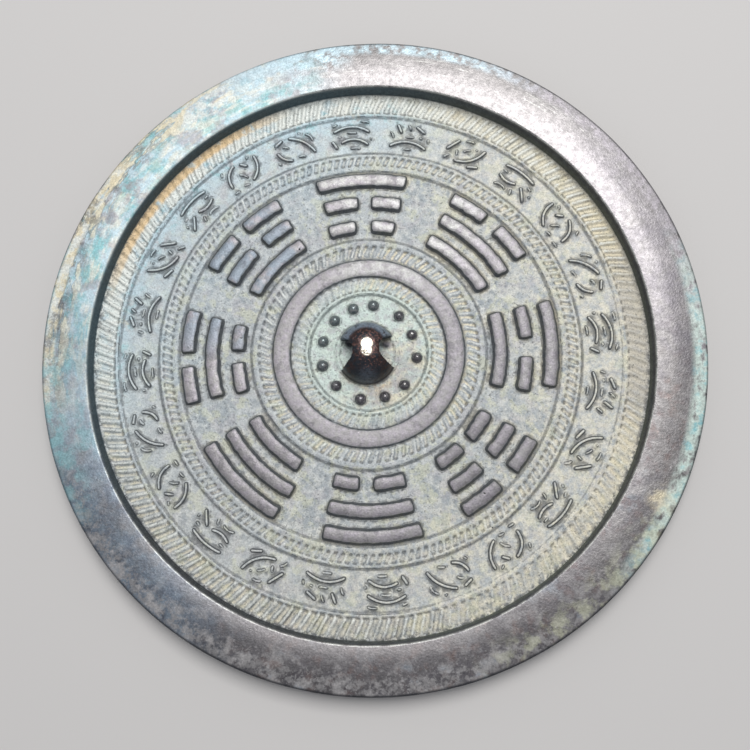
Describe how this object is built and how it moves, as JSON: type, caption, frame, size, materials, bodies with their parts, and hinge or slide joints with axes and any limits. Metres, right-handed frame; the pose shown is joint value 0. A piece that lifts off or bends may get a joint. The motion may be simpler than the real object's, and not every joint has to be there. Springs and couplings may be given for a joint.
{
  "type": "ancient bronze mirror",
  "caption": "Round cast bronze mirror lying on its reflecting face, with a raised rim, bars, line rings, comb bands, bosses and a pierced central knob on the back.",
  "frame": {"origin": "centre of the flat reflecting face, which the mirror lies on", "axes": "+Z out of the decorated back, through the knob; +X along the knob's cord hole, to the picture's right, and +Y to its top"},
  "size_m": [0.15, 0.15, 0.0087],
  "materials": {
    "patinated_bronze": "old high-tin bronze, grey with a green and cream patina, silvery where worn"
  },
  "bodies": {
    "root": {"mirror": "patinated_bronze"}
  },
  "joints": []
}
